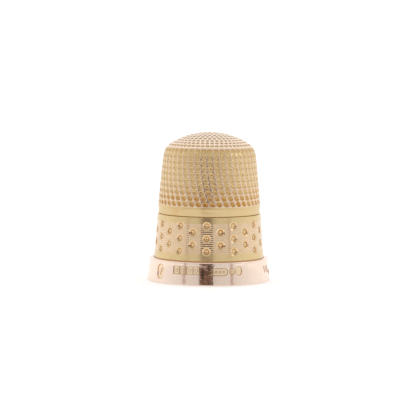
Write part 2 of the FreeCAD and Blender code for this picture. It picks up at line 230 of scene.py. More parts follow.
class Outline:
    """The outer half section: cone, bowed wall, shoulder and dome, each tangent to the next."""

    def __init__(self, body):
        self.body = body
        self.foot_radius = body.mouth / 2 + body.wall
        self.border_top = rim_high.z + body.border_height
        self.knurl_foot = self.border_top + body.waist_height
        lean = math.atan(body.slope)
        start = Vector((self.cone(self.knurl_foot), self.knurl_foot))
        wall_middle = start - body.bow * Vector((math.cos(lean), math.sin(lean)))
        dome_middle = Vector((0, body.height - body.dome))
        from_wall, from_dome = body.bow - body.shoulder, body.dome - body.shoulder
        gap = dome_middle - wall_middle
        along = (from_wall**2 - from_dome**2 + gap.length_squared) / (2 * gap.length)
        across = math.sqrt(from_wall**2 - along**2)
        unit = gap.normalized()
        middle = wall_middle + unit * along + Vector((-unit.y, unit.x)) * across
        wall_end = math.atan2(*reversed(middle - wall_middle))
        dome_start = math.atan2(*reversed(middle - dome_middle))
        self.wall = Bend(wall_middle, body.bow, lean, wall_end)
        self.shoulder = Bend(middle, body.shoulder, wall_end, dome_start)
        self.dome = Bend(dome_middle, body.dome, dome_start, math.pi / 2)
        self.bends = (self.wall, self.shoulder, self.dome)
        self.length = sum(bend.length() for bend in self.bends)
        self.seam = self.wall.length() + body.shoulder * (body.seam - wall_end)

    def cone(self, z):
        return self.foot_radius - self.body.slope * z

    def skin(self, z, inset=0.0):
        """The radius and height of a point on the cone, or under it."""
        return self.cone(z) - inset, z

    def at(self, distance, inset=0.0):
        """A point a distance up from the knurling's foot, moved in from the skin."""
        for bend in self.bends:
            if distance <= bend.length() or bend is self.dome:
                return bend.at(bend.start + distance / bend.radius, inset)
            distance -= bend.length()

    def depth(self, r, z):
        """How deep points lie under the skin of the knurled part."""
        found = np.zeros_like(r)
        for bend in self.bends:
            angle = np.arctan2(z - bend.middle.y, r - bend.middle.x)
            inside = (angle >= bend.start) & (angle <= bend.end + 1e-6)
            deep = bend.radius - np.hypot(r - bend.middle.x, z - bend.middle.y)
            found = np.where(inside, deep, found)
        return found


def rim_radius(outline, rim, z):
    """Outer radius of the rim at a height, with its flare hollowed."""
    height = rim_high.z
    foot = outline.foot_radius + rim.foot
    top = outline.cone(height) + rim.top
    share = z / height
    return foot + (top - foot) * share - 4 * rim.hollow * share * (1 - share)


# ---- turning and shaping


def clear_selection():
    if bpy.context.object and bpy.context.object.mode != "OBJECT":
        bpy.ops.object.mode_set(mode="OBJECT")
    bpy.ops.object.select_all(action="DESELECT")


def only(piece):
    clear_selection()
    piece.select_set(True)
    bpy.context.view_layer.objects.active = piece


def edit(piece):
    only(piece)
    bpy.ops.object.mode_set(mode="EDIT")


def stop_editing():
    bpy.ops.object.mode_set(mode="OBJECT")


def select_all():
    bpy.ops.mesh.select_all(action="SELECT")


def resize(across, up=1.0):
    """Scales what is selected, from the origin."""
    bpy.ops.transform.resize(value=(across, across, up), center_override=(0, 0, 0))


def rotate(angle):
    """Turns what is selected round the axis."""
    bpy.ops.transform.rotate(value=-angle, orient_axis="Z", center_override=(0, 0, 0))


def fair(radius, count):
    """The radius of a ring of corners whose subdivided curve has the radius wanted."""
    return radius / (1 - (1 - math.cos(2 * math.pi / count)) / 3)


class Turning:
    """A piece turned on the lathe: a ring, drawn out ring by ring in edit mode."""

    def __init__(self, name, count, radius, height, smooth=True):
        clear_selection()
        start = fair(radius, count) if smooth else radius
        bpy.ops.mesh.primitive_circle_add(vertices=count, radius=start, location=(0, 0, height))
        self.piece = bpy.context.object
        self.piece.name = self.piece.data.name = name
        bpy.ops.object.transform_apply(location=True)
        bpy.ops.object.mode_set(mode="EDIT")
        bpy.ops.mesh.select_mode(type="EDGE")
        select_all()
        self.radius, self.height, self.angle = radius, height, 0.0

    def draw(self, radius, height, angle=None):
        """Extrudes the last ring to a new radius and height, and turns it to an angle."""
        lift = (0, 0, height - self.height)
        bpy.ops.mesh.extrude_region_move(TRANSFORM_OT_translate={"value": lift})
        resize(radius / self.radius)
        if angle is not None and angle != self.angle:
            rotate(angle - self.angle)
            self.angle = angle
        self.radius, self.height = radius, height

    def draw_all(self, points):
        for radius, height in points:
            self.draw(radius, height)

    def draw_from(self, ring):
        """Goes on from the ring at a radius and height, which is selected."""
        self.radius, self.height = ring

    def pole(self):
        """Draws the last ring together on the axis."""
        bpy.ops.mesh.extrude_region_move(TRANSFORM_OT_translate={"value": (0, 0, 0)})
        bpy.ops.mesh.merge(type="CENTER")

    def close(self):
        """Welds the rings that met, and points every face outwards."""
        select_all()
        bpy.ops.mesh.remove_doubles(threshold=MERGE)
        bpy.ops.mesh.normals_make_consistent(inside=False)
        stop_editing()
        return self.piece


def pick(piece, kind, wanted):
    """Selects the corners, edges or faces that are wanted."""
    bpy.ops.mesh.select_mode(type=kind)
    bpy.ops.mesh.select_all(action="DESELECT")
    mesh = bmesh.from_edit_mesh(piece.data)
    for part in {"VERT": mesh.verts, "EDGE": mesh.edges, "FACE": mesh.faces}[kind]:
        part.select_set(bool(wanted(part)))
    mesh.select_flush_mode()
    bmesh.update_edit_mesh(piece.data)


def ring_of(place):
    """The radius and the height of a place."""
    return math.hypot(place.x, place.y), place.z


def pick_faces(piece, wanted):
    """Selects the faces whose middle, as radius and height, and normal are wanted."""
    pick(piece, "FACE", lambda face: wanted(*ring_of(face.calc_center_median()), face.normal))


def pick_edges(piece, wanted):
    """Selects the edges whose two ends, each a radius and a height, are wanted."""
    pick(piece, "EDGE", lambda edge: wanted(*[ring_of(corner.co) for corner in edge.verts]))


def pick_corners(piece, wanted):
    """Selects the corners whose angle from the front, radius and height are wanted."""
    pick(piece, "VERT", lambda corner: wanted(math.atan2(corner.co.x, -corner.co.y), *ring_of(corner.co)))


def level_at(*heights):
    """Wants an edge whose ends are both at one of the heights."""
    return lambda *ends: all(any(abs(z - height) < MERGE for height in heights) for r, z in ends)


def sink_pits(piece, wanted, lip, bank, depth, stretch, unevenness, seed):
    """Sinks a pit into each face wanted: a flat lip, a bank and an uneven floor.

    The piece is stretched upwards meanwhile, which leaves its level banks narrower."""
    edit(piece)
    select_all()
    resize(1, stretch)
    pick_faces(piece, lambda r, z, normal: wanted(r, z / stretch, normal))
    bpy.ops.mesh.inset(thickness=lip, depth=0, use_individual=True)
    bpy.ops.mesh.inset(thickness=bank, depth=-depth, use_individual=True)
    bpy.ops.transform.vertex_random(offset=unevenness, seed=seed)
    bpy.ops.mesh.region_to_loop()
    bpy.ops.transform.edge_crease(value=FLOOR_CREASE)
    select_all()
    resize(1, 1 / stretch)
    stop_editing()


def sharpen(piece, *heights):
    """Keeps the level edges at some heights sharp when the piece is subdivided."""
    edit(piece)
    pick_edges(piece, level_at(*heights))
    bpy.ops.transform.edge_crease(value=1.0)
    stop_editing()


def subdivide(piece, levels):
    only(piece)
    modifier = piece.modifiers.new("Rounding", "SUBSURF")
    modifier.levels = modifier.render_levels = levels
    bpy.ops.object.modifier_apply(modifier=modifier.name)
    bpy.ops.object.shade_smooth()


def smooth_by_angle(piece, degrees):
    only(piece)
    bpy.ops.object.shade_smooth_by_angle(angle=math.radians(degrees))


def joined(pieces):
    clear_selection()
    for piece in pieces:
        piece.select_set(True)
    bpy.context.view_layer.objects.active = pieces[0]
    bpy.ops.object.join()
    return pieces[0]


def cut(piece, tool, operation="DIFFERENCE", careful=False):
    """Cuts a piece with a tool, and throws the tool away.

    The careful way is slower, and misses none of a tool's separate blocks."""
    only(piece)
    modifier = piece.modifiers.new("Cut", "BOOLEAN")
    modifier.operation, modifier.solver, modifier.object = operation, "EXACT", tool
    modifier.use_self = careful
    bpy.ops.object.modifier_apply(modifier=modifier.name)
    bpy.data.objects.remove(tool)


def note(piece, name, find):
    """Stores a number from 0 to 1 at each point, by radius and height, for the materials to read."""
    mesh = piece.data
    spots = np.zeros(len(mesh.vertices) * 3)
    mesh.vertices.foreach_get("co", spots)
    spots = spots.reshape(-1, 3)
    found = find(np.hypot(spots[:, 0], spots[:, 1]), spots[:, 2])
    attribute = mesh.attributes.new(name, "FLOAT", "POINT")
    attribute.data.foreach_set("value", np.clip(found, 0, 1).astype(np.float32))


def finish_piece(piece, material, slot, *nodes):
    """Gives a piece its metal and its body, and hides the CAD nodes that it stands for."""
    piece.data.materials.clear()
    piece.data.materials.append(material)
    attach(piece, "root")
    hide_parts(*nodes)


# ---- material nodes

COLOUR, VECTOR, VALUE = "NodeSocketColor", "NodeSocketVector", "NodeSocketFloat"

# Sizes of the metal's marks, in cells for each metre.
PATCHES, CLOUDS, SMUDGES = 1500.0, 420.0, 330.0
DENTS, SMEARS = 900.0, 260.0


def feed(tree, socket, value):
    """Links a socket to another one, or sets its value."""
    if isinstance(value, bpy.types.NodeSocket):
        tree.links.new(value, socket)
    else:
        socket.default_value = value


def put(tree, kind, inputs, **settings):
    """Adds a node, with its inputs by number or name and its settings by name."""
    node = tree.nodes.new(kind)
    for name, value in settings.items():
        setattr(node, name, value)
    for name, value in inputs.items():
        feed(tree, node.inputs[name], value)
    return node


def maths(tree, operation, first, second):
    return put(tree, "ShaderNodeMath", {0: first, 1: second}, operation=operation).outputs[0]


def ranged(tree, value, low, high, to_low=0.0, to_high=1.0):
    limits = {"Value": value, "From Min": low, "From Max": high, "To Min": to_low, "To Max": to_high}
    return put(tree, "ShaderNodeMapRange", limits).outputs[0]


def blend(tree, share, first, second):
    """Mixes two colours."""
    node = put(tree, "ShaderNodeMix", {}, data_type="RGBA")
    for name, kind, value in (("Factor", "VALUE", share), ("A", "RGBA", first), ("B", "RGBA", second)):
        feed(tree, next(s for s in node.inputs if s.name == name and s.type == kind), value)
    return next(s for s in node.outputs if s.type == "RGBA")


def noise(tree, place, scale, detail=2.0, roughness=0.5):
    inputs = {"Vector": place, "Scale": scale, "Detail": detail, "Roughness": roughness}
    return put(tree, "ShaderNodeTexNoise", inputs).outputs["Fac"]


def object_place(tree):
    return put(tree, "ShaderNodeTexCoord", {}).outputs["Object"]


def new_group(name, inputs, outputs):
    """A shader node group with named sockets. Gives its tree, its input sockets and its output node."""
    tree = bpy.data.node_groups.new(name, "ShaderNodeTree")
    for label, kind in inputs.items():
        tree.interface.new_socket(label, in_out="INPUT", socket_type=kind)
    for label, kind in outputs.items():
        tree.interface.new_socket(label, in_out="OUTPUT", socket_type=kind)
    return tree, tree.nodes.new("NodeGroupInput").outputs, tree.nodes.new("NodeGroupOutput")


def gold_tint(name):
    """Colour by depth: worn ridges, clean banks and browned floors, each a little uneven.

    Clear Floor keeps the browning off the deepest points; in a punched dot this leaves a painted bright
    centre."""
    tree, into, out = new_group(
        name,
        {"Worn": COLOUR, "Clean": COLOUR, "Deep": COLOUR, "Place": VECTOR, "Depth": VALUE, "Satin": VALUE,
         "Stain And Shade": VALUE, "Clear Floor": VALUE},
        {"Color": COLOUR, "Hollow": VALUE},
    )
    place, depth, satin = into["Place"], into["Depth"], into["Satin"]
    patch = ranged(tree, noise(tree, place, PATCHES), 0.3, 0.7, -0.08, 0.08)
    uneven = maths(tree, "ADD", depth, patch)
    bank = maths(tree, "MAXIMUM", ranged(tree, uneven, 0.05, 0.16), ranged(tree, satin, 0.0, 0.4))
    cloud = ranged(tree, noise(tree, place, CLOUDS, 3.0), 0.35, 0.65, 0.6, 1.0)
    cleared = maths(tree, "MULTIPLY", ranged(tree, depth, 0.72, 0.88), into["Clear Floor"])
    # The browning is dirt in the wall's pits, and painted shade in the punched dots, the crown's pits and
    # the step round each stamp.
    stain_and_shade = ranged(tree, uneven, 0.16, 0.40)
    for share in (cloud, into["Stain And Shade"], maths(tree, "SUBTRACT", 1.0, cleared)):
        stain_and_shade = maths(tree, "MULTIPLY", stain_and_shade, share)
    smudge = ranged(tree, noise(tree, place, SMUDGES, 3.0, 0.6), 0.56, 0.70, 0.0, 0.3)
    stain_and_shade = maths(tree, "MAXIMUM", stain_and_shade, maths(tree, "MULTIPLY", smudge, satin))
    base = blend(tree, bank, into["Worn"], into["Clean"])
    feed(tree, out.inputs["Color"], blend(tree, stain_and_shade, base, into["Deep"]))
    feed(tree, out.inputs["Hollow"], bank)
    return tree


def handling_marks(name):
    """The marks of handling: fine scratches in two directions, a soft smear and small dents."""
    tree, into, out = new_group(name, {"Place": VECTOR, "Scratches": VALUE, "Dents": VALUE},
                                {"Height": VALUE, "Smear": VALUE})
    hair = []
    for turned, squeeze in ((0.35, (900.0, 900.0, 14000.0)), (-0.9, (7000.0, 900.0, 2500.0))):
        settings = {"Vector": into["Place"], "Rotation": (turned, turned / 2, 0), "Scale": squeeze}
        strand = noise(tree, put(tree, "ShaderNodeMapping", settings).outputs[0], 1.0)
        hair.append(ranged(tree, strand, 0.60, 0.72))
    scratches = maths(tree, "MULTIPLY", maths(tree, "MAXIMUM", *hair), into["Scratches"])
    dents = ranged(tree, noise(tree, into["Place"], DENTS, 1.0), 0.35, 0.65)
    dents = maths(tree, "MULTIPLY", dents, into["Dents"])
    feed(tree, out.inputs["Height"], maths(tree, "SUBTRACT", dents, scratches))
    smear = noise(tree, into["Place"], SMEARS, 4.0, 0.6)
    feed(tree, out.inputs["Smear"], ranged(tree, smear, 0.35, 0.7))
    return tree


def group_node(tree, name, build, inputs):
    """Adds a node group, which is built the first time that it is needed."""
    group = bpy.data.node_groups.get(name) or build(name)
    return put(tree, "ShaderNodeGroup", inputs, node_tree=group).outputs


def noted(tree, name):
    return put(tree, "ShaderNodeAttribute", {}, attribute_name=name).outputs["Fac"]


def gold_material(name, worn, clean, deep, rough, stain_and_shade_shares=(0.5, 0.5), stain_and_shade_heights=(0.0, 1.0),
                  top_stain=(1.0, 2.0, 0.0), clear_floor=0.0, satin_rough=0.10, scratches=0.5, dents=0.4,
                  relief=0.006 * MM):
    """A polished or satin gold, tinted by depth, with the marks of handling.

    The share of browning, dirt in the wall and painted shade elsewhere, runs from one value to another
    between two heights. The browning at the top is laid over it: the heights where it starts and ends, and
    its share."""
    hollow_rough = 0.05
    material = bpy.data.materials.new(name)
    material.use_nodes = True
    tree = material.node_tree
    tree.nodes.clear()
    place = object_place(tree)
    height = put(tree, "ShaderNodeSeparateXYZ", {0: place}).outputs["Z"]
    satin = noted(tree, "satin")
    stain_and_shade = maths(tree, "MAXIMUM", ranged(tree, height, *stain_and_shade_heights, *stain_and_shade_shares),
                    ranged(tree, height, *top_stain[:2], 0.0, top_stain[2]))
    tint = group_node(tree, "Gold tint", gold_tint, {
        "Worn": (*worn, 1), "Clean": (*clean, 1), "Deep": (*deep, 1), "Place": place,
        "Depth": noted(tree, "depth"), "Satin": satin, "Stain And Shade": stain_and_shade, "Clear Floor": clear_floor})
    marks = group_node(tree, "Handling marks", handling_marks, {
        "Place": place, "Scratches": scratches, "Dents": dents})
    gloss = ranged(tree, marks["Smear"], 0.0, 1.0, rough * 0.8, rough * 1.35)
    for share, more in ((satin, satin_rough), (tint["Hollow"], hollow_rough)):
        gloss = maths(tree, "ADD", gloss, maths(tree, "MULTIPLY", share, more))
    bump = put(tree, "ShaderNodeBump", {"Height": marks["Height"], "Distance": relief})
    shader = put(tree, "ShaderNodeBsdfPrincipled", {
        "Base Color": tint["Color"], "Roughness": gloss, "Normal": bump.outputs[0], "Metallic": 1.0})
    end = put(tree, "ShaderNodeOutputMaterial", {"Surface": shader.outputs[0]})
    end.is_active_output = True
    return material


def plain_finish(name, base, rough):
    """A matt stage surface. Gives its material and its shader's sockets."""
    material = bpy.data.materials.new(name)
    material.use_nodes = True
    shader = material.node_tree.nodes["Principled BSDF"]
    shader.inputs["Base Color"].default_value = (*base, 1)
    shader.inputs["Roughness"].default_value = rough
    return material, shader.inputs


# ---- pieces


def chosen(context, *names):
    """The sizes or colours that the user has set, by the names of their groups."""
    return [getattr(context.scene, "thimble_" + name) for name in names]


class THIMBLE_OT_knurled_wall(bpy.types.Operator):
    """Turn the waist and the knurled wall, and sink its rows of pits"""

    bl_idname = "thimble.knurled_wall"
    bl_label = "Knurled wall"

    def execute(self, context):
        body, knurl, gold = chosen(context, "body", "knurl", "gold")
        outline = Outline(body)
        foot, top, seam = outline.border_top, outline.knurl_foot, outline.seam
        waist = outline.cone(top) - body.waist_depth
        pitch = 2 * math.pi / knurl.columns
        edge = 0.04 * MM
        inner_steps = 9
        room = seam - edge * 1.5 - knurl.foot_margin

        def ridge(row):
            """The level ridge under a row: its place on the skin, and where its first pit starts."""
            rows_down = max(0.0, knurl.rows - 0.5 - row)
            place = outline.at(knurl.foot_margin + room * row / knurl.rows)
            return place, pitch * (0.5 + knurl.drift * rows_down**2)

        turning = Turning("knurled_wall", knurl.columns, waist, foot)
        turning.draw(waist, foot + edge, ridge(0)[1])
        turning.draw_all([(waist, foot + edge * 4), (waist, top - edge * 4), (waist, top - edge)])
        turning.draw(waist + edge, top - edge / 2)
        turning.draw_all(outline.at(way) for way in (edge / 2, edge * 3, knurl.foot_margin - edge))
        for row in range(knurl.rows + 1):
            place, begin = ridge(row)
            turning.draw(*place, begin)
        turning.draw_all(outline.at(way) for way in (seam - edge / 2, seam))
        turning.draw_all(outline.at(seam * (1 - step / inner_steps), body.wall)
                         for step in range(inner_steps + 1))
        turning.draw(outline.cone(foot) - body.wall, foot, 0.0)
        turning.draw(waist, foot)
        piece = turning.close()
        low, high = outline.at(knurl.foot_margin).y, outline.at(seam - edge * 1.5).y
        pitch_up = (high - low) / knurl.rows

        def in_rows(r, z, normal):
            return low < z < high and outline.depth(np.array([r]), np.array([z]))[0] < body.wall / 2

        sink_pits(piece, in_rows, knurl.lip, knurl.bank, knurl.depth, knurl.stretch, knurl.unevenness, 3)
        sharpen(piece, outline.at(seam).y)
        subdivide(piece, 1)
        self.sag(piece, knurl, pitch, ridge)
        subdivide(piece, 1)

        def depth(r, z):
            deep = outline.depth(r, z)
            return np.where((z > low) & (deep < body.wall * 0.9), deep / knurl.depth * 0.9, 0.0)

        note(piece, "depth", depth)
        note(piece, "satin", lambda r, z: z < low)
        metal = gold_material(
            "Yellow gold knurled", gold.worn, gold.yellow, gold.deep, 0.18, stain_and_shade_shares=(1.0, 0.22),
            stain_and_shade_heights=(low + pitch_up, low + pitch_up * 4), dents=0.5,
            top_stain=(high - pitch_up * 1.2, high, 0.6))
        finish_piece(piece, metal, "yellow_gold", "side_wall")
        return {"FINISHED"}

    def sag(self, piece, knurl, pitch, ridge):
        """Sinks the middle of every level ridge, between its two upright ones."""
        half, up, inwards = 0.2, 0.05 * MM, 0.06 * MM
        edit(piece)
        for row in range(1, knurl.rows):
            place, begin = ridge(row)
            sag = knurl.low_sag if row < knurl.low_rows else knurl.high_sag

            def midway(angle, r, z):
                share = (angle - begin) / pitch % 1
                return abs(share - 0.5) < half and abs(z - place.y) < up and abs(r - place.x) < inwards

            pick_corners(piece, midway)
            resize(1 - sag / place.x)
        stop_editing()


class THIMBLE_OT_border_wall(bpy.types.Operator):
    """Turn the lower wall, engrave its lines and punch its dots"""

    bl_idname = "thimble.border_wall"
    bl_label = "Engraved border"

    def execute(self, context):
        body, border, gold = chosen(context, "body", "border", "gold")
        outline = Outline(body)
        foot, top = wall_low.z, outline.border_top
        low, high = rim_high.z + border.foot_margin, top - border.top_margin
        edge = 0.03 * MM
        turning = Turning("engraved_border", 192, *outline.skin(foot), smooth=False)
        turning.draw_all(outline.skin(z) for z in (rim_high.z, (rim_high.z + low) / 2, low, low + edge))
        step = (high - low) / border.lines
        for line in range(border.lines):
            start = low + step * (line + 0.25)
            for share, deep in ((0.0, 0.0), (0.25, 1.0), (0.5, 0.0)):
                turning.draw(*outline.skin(start + step * share, border.line_depth * deep))
        turning.draw_all(outline.skin(z) for z in (high - edge, high, (high + top) / 2, top - edge))
        turning.draw(outline.cone(top) - edge * 0.3, top - edge * 0.3)
        turning.draw_all([outline.skin(top, edge), outline.skin(top, body.wall)])
        turning.draw_all(outline.skin(foot + (top - foot) * share, body.wall)
                         for share in (0.75, 0.5, 0.25, 0.0))
        turning.draw(*outline.skin(foot))
        piece = turning.close()
        cut(piece, self.punches(outline, border, (low + high) / 2))
        smooth_by_angle(piece, 20)
        collar = border.collar_depth

        def depth(r, z):
            deep = outline.cone(z) - r
            skin = (z > rim_high.z) & (deep < body.wall * 0.9)
            # These levels put the painted shade on a dot's lower banks and leave its floor clear of it, as
            # a painted bright centre.
            levels = (0.0, collar * OUTER_COLLAR, collar, collar * 1.15, border.dot_depth)
            return np.where(skin, np.interp(deep, levels, (0.0, 0.12, 0.12, 0.45, 1.0)), 0.0)

        def satin(r, z):
            deep = outline.cone(z) - r
            dished = np.minimum(abs(deep - collar * OUTER_COLLAR), abs(deep - collar)) < MERGE
            margin = (z < low + MERGE) | (z > high - MERGE)
            return np.maximum(dished, margin * 0.4)

        note(piece, "depth", depth)
        note(piece, "satin", satin)
        # The dots' banks take painted orange shade, and their floors are kept clear of it as a painted
        # bright centre.
        metal = gold_material(
            "Yellow gold engraved", gold.polished, gold.yellow, gold.dots, 0.08, stain_and_shade_shares=(1.0, 1.0),
            clear_floor=1.0, satin_rough=0.25, relief=0.002 * MM)
        finish_piece(piece, metal, "yellow_gold", "side_wall")
        return {"FINISHED"}

    def punches(self, outline, border, centre):
        """All the punches, joined into one cutting tool. Each has a ball's end and a dished collar."""
        ball = (border.dot**2 + border.dot_depth**2) / (2 * border.dot_depth)
        half_turn = math.acos((ball - border.dot_depth + border.collar_depth) / ball)
        steps = 6
        proud = 0.1 * MM
        pin = Turning("punch", 28, border.collar, proud, smooth=False)
        pin.draw(border.collar, -border.collar_depth * OUTER_COLLAR)
        for share in [1.0, 0.97] + [1 - step / steps for step in range(1, steps)]:
            angle = half_turn * share
            pin.draw(ball * math.sin(angle), ball - border.dot_depth - ball * math.cos(angle))
        pin.pole()
        pick_edges(pin.piece, lambda *ends: all(z > 0 for r, z in ends))
        bpy.ops.mesh.edge_face_add()
        first = pin.close()
        made = []
        for levels, start in (((-2, 0, 2), 0), ((-1, 1), 1)):
            for column in range(start, border.columns, 2):
                around = border.first + 2 * math.pi * column / border.columns
                made += [self.placed_copy(first, outline, centre + level * border.level, around)
                         for level in levels]
        bpy.data.objects.remove(first)
        tool = joined(made)
        bpy.ops.object.transform_apply(location=True, rotation=True, scale=True)
        return tool

    def placed_copy(self, first, outline, z, around):
        """A copy of the punch that stands square on the wall."""
        copy = first.copy()
        copy.data = first.data.copy()
        bpy.context.scene.collection.objects.link(copy)
        radius = outline.cone(z)
        copy.location = (radius * math.sin(around), -radius * math.cos(around), z)
        lean = math.atan(outline.body.slope)
        level = math.cos(lean)
        normal = Vector((level * math.sin(around), -level * math.cos(around), math.sin(lean)))
        copy.rotation_euler = normal.to_track_quat("Z", "Y").to_euler()
        return copy


class THIMBLE_OT_crown_cap(bpy.types.Operator):
    """Dome the crown and sink its rings of pits"""

    bl_idname = "thimble.crown_cap"
    bl_label = "Crown"

    def execute(self, context):
        body, knurl, gold = chosen(context, "body", "knurl", "gold")
        outline = Outline(body)
        pitch = (outline.length - outline.seam - knurl.ring_margin) / (knurl.rings + 0.5)
        half = (pitch - knurl.ring_ridge) / 2
        edge = 0.04 * MM
        start = outline.at(outline.seam)
        rings = []
        for ring in range(knurl.rings, 0, -1):
            way = outline.length - pitch * ring
            count = max(6, round(2 * math.pi * outline.at(way).x / knurl.ring_pitch))
            rings.append((ring, count, outline.at(way - half), outline.at(way + half)))
        turning = Turning("pitted_crown", rings[0][1], *start)
        piece = turning.piece
        turning.draw(*outline.at(outline.seam + edge / 2))
        last = None
        for ring, count, low, high in rings:
            if last is None:
                turning.draw(*low)
            else:
                bpy.ops.mesh.select_all(action="DESELECT")
                bpy.ops.mesh.primitive_circle_add(vertices=count, radius=fair(low.x, count),
                                                  location=(0, 0, low.y))
                rotate(-(ring % 2) * math.pi / count)
                pick_edges(piece, level_at(low.y, last.y))
                bpy.ops.mesh.bridge_edge_loops()
                pick_edges(piece, level_at(low.y))
                turning.draw_from(low)
            turning.draw(*high)
            last = high
        # The middle pit is a cell of its own, as wide as the space inside the last ring.
        bpy.ops.mesh.edge_face_add()
        pick_edges(piece, level_at(start.y))
        turning.draw_from(start)
        lip = outline.at(outline.seam, body.crown_wall)
        turning.draw(*lip)
        top = body.height - body.crown_wall
        rise = top - lip.y
        inner = (lip.x**2 + rise**2) / (2 * rise)
        half_turn = math.asin(lip.x / inner)
        for share in (0.8, 0.6, 0.4, 0.2):
            angle = half_turn * share
            turning.draw(inner * math.sin(angle), top - inner * (1 - math.cos(angle)))
        bpy.ops.mesh.edge_face_add()
        turning.close()
        cells = []
        for ring, count, low, high in rings:
            middle = (low + high) / 2
            cells.append((fair(middle.x, count) * math.cos(math.pi / count), middle.y))

        def in_rings(r, z, normal):
            near = min(math.hypot(r - cell[0], z - cell[1]) for cell in cells)
            return normal.z > 0.2 and (r < pitch / 4 or near < pitch / 8)

        sink_pits(piece, in_rings, knurl.ring_lip, knurl.ring_bank, knurl.ring_depth, 1.0,
                  knurl.unevenness / 2, 5)
        sharpen(piece, start.y)
        subdivide(piece, 2)

        def depth(r, z):
            deep = outline.depth(r, z)
            return np.where(deep < body.crown_wall * 0.6, deep / knurl.ring_depth * 2.2, 0.0)

        note(piece, "depth", depth)
        # The crown's pits take painted shade, darker towards the apex.
        metal = gold_material(
            "Rose gold crown", gold.crown, gold.crown_pits, gold.hollow_shade, 0.16, stain_and_shade_shares=(0.12, 0.8),
            stain_and_shade_heights=(start.y, body.height))
        finish_piece(piece, metal, "rose_gold_crown", "crown_cap")
        return {"FINISHED"}


class THIMBLE_OT_rim_band(bpy.types.Operator):
    """Turn the flared band, cut the gap between its ends and sink its blank stamps"""

    bl_idname = "thimble.rim_band"
    bl_label = "Rim band"

    def execute(self, context):
        body, rim, gold = chosen(context, "body", "rim", "gold")
        outline = Outline(body)
        piece = rim_ring("stamped_rim", outline, rim)
        cut(piece, gap_block(rim))
        for step, deep in ((rim.stamp_step, rim.stamp / 2), (0.0, rim.stamp)):
            cut(piece, self.stamps(outline, rim, step, deep), careful=True)
        smooth_by_angle(piece, 35)

        def depth(r, z):
            deep = rim_radius(outline, rim, z) - r
            skin = (deep < rim.stamp * 1.5) & (z > rim.edge) & (z < rim_high.z - rim.edge)
            return np.where(skin, deep, 0.0) / rim.stamp

        note(piece, "depth", depth)
        # The half-deep step round each stamp takes painted shade, and the stamps' floors are kept mostly
        # clear of it.
        metal = gold_material(
            "Rose gold polished", gold.rose, gold.stamps, gold.stamp_edge_shade, 0.07, stain_and_shade_shares=(0.8, 0.8),
            clear_floor=0.9, scratches=0.4, dents=1.0, relief=0.004 * MM)
        finish_piece(piece, metal, "rose_gold_rim", "rim_band")
        return {"FINISHED"}

    def stamps(self, outline, rim, step, deep):
        """The blank stamps, from left to right round the front, as one cutting tool.

        They are widened by a step and reach a depth."""
        low, high = rim.stamp_height, rim.stamp_height + rim.stamp_lift
        wider = step * 2
        # Where stamps stand in degrees round from the front, and how wide and tall they are in millimetres.
        tall, beaded, plain_round, oval, last = -52, 9, 22.5, 29.5, 80
        squares, beads, strokes = (-32.0, -25.2, -18.4, -11.6), (3.6, 7.2, 10.8, 14.4), (66, 70, 74)
        square, stroke, bar = (0.8 * MM, 1.0 * MM), (0.14 * MM, 1.0 * MM), (0.4 * MM, 1.1 * MM)
        disc, bead = 0.54 * MM, 0.36 * MM
        capsules = ((tall, low, 1.25, 2.0), (beaded, high - 0.15 * MM, 2.7, 0.95),
                    (plain_round, high - 0.1 * MM, 0.84, 0.84), (oval, high - 0.05 * MM, 0.85, 1.15),
                    (last, low - 0.3 * MM, 0.6, 0.6))

        def capsule(angle, height, width, tallness):
            return self.pushed_out(self.capsule(width, tallness), outline, rim, angle, height)

        def block(angle, height, width, tallness, slant=0.0):
            return self.pushed_out(self.block(width, tallness, slant), outline, rim, angle, height)

        pockets = [capsule(angle, height, wide * MM + wider, high_up * MM + wider)
                   for angle, height, wide, high_up in capsules]
        pockets += [block(angle, high, square[0] + wider, square[1] + wider) for angle in squares]
        pockets += [block(angle, low + 0.2 * MM, stroke[0] + step, stroke[1], -0.4 * MM)
                    for angle in strokes]
        raised = [capsule(angle, high, disc - wider, disc - wider) for angle in squares]
        raised += [capsule(angle, high - 0.15 * MM, bead - wider, bead - wider) for angle in beads]
        raised.append(block(tall, low, bar[0] - wider, bar[1], 0.35 * MM))
        tool = joined(pockets)
        cut(tool, joined(raised))
        cut(tool, rim_core(outline, rim, deep))
        return tool

    def capsule(self, width, tallness):
        """The flat outline of a stamp with round ends, or of a round one."""
        clear_selection()
        radius = min(width, tallness) / 2
        bpy.ops.mesh.primitive_circle_add(vertices=32, radius=radius, fill_type="NGON")
        piece = bpy.context.object
        edit(piece)
        run = abs(width - tallness) / 2
        way = Vector((1, 0, 0)) if width > tallness else Vector((0, 1, 0))
        if run > 0:
            self.spread(piece, way, way * run)
        return piece

    def block(self, width, tallness, slant):
        """The flat outline of a stamp with straight sides, upright or slanted."""
        clear_selection()
        bpy.ops.mesh.primitive_plane_add(size=1)
        piece = bpy.context.object
        edit(piece)
        bpy.ops.transform.resize(value=(width, tallness, 1), center_override=(0, 0, 0))
        self.spread(piece, Vector((0, 1, 0)), Vector((slant / 2, 0, 0)))
        return piece

    def spread(self, piece, way, shift):
        """Moves the half of a flat outline that lies one way, and the other half the opposite way."""
        for side in (1, -1):
            pick(piece, "VERT", lambda corner: corner.co.dot(way) * side > 1e-7)
            bpy.ops.transform.translate(value=shift * side)

    def pushed_out(self, piece, outline, rim, angle, height):
        """Makes a flat outline in edit mode a block that runs out through the rim's skin."""
        bpy.ops.mesh.select_mode(type="VERT")
        select_all()
        bpy.ops.mesh.extrude_region_move(TRANSFORM_OT_translate={"value": (0, 0, 2 * rim.foot)})
        select_all()
        bpy.ops.mesh.normals_make_consistent(inside=False)
        stop_editing()
        turned = math.radians(angle)
        radius = rim_radius(outline, rim, height) - rim.foot / 2
        piece.rotation_euler = (math.pi / 2, 0, turned)
        piece.location = (radius * math.sin(turned), -radius * math.cos(turned), height)
        bpy.ops.object.transform_apply(location=True, rotation=True)
        return piece


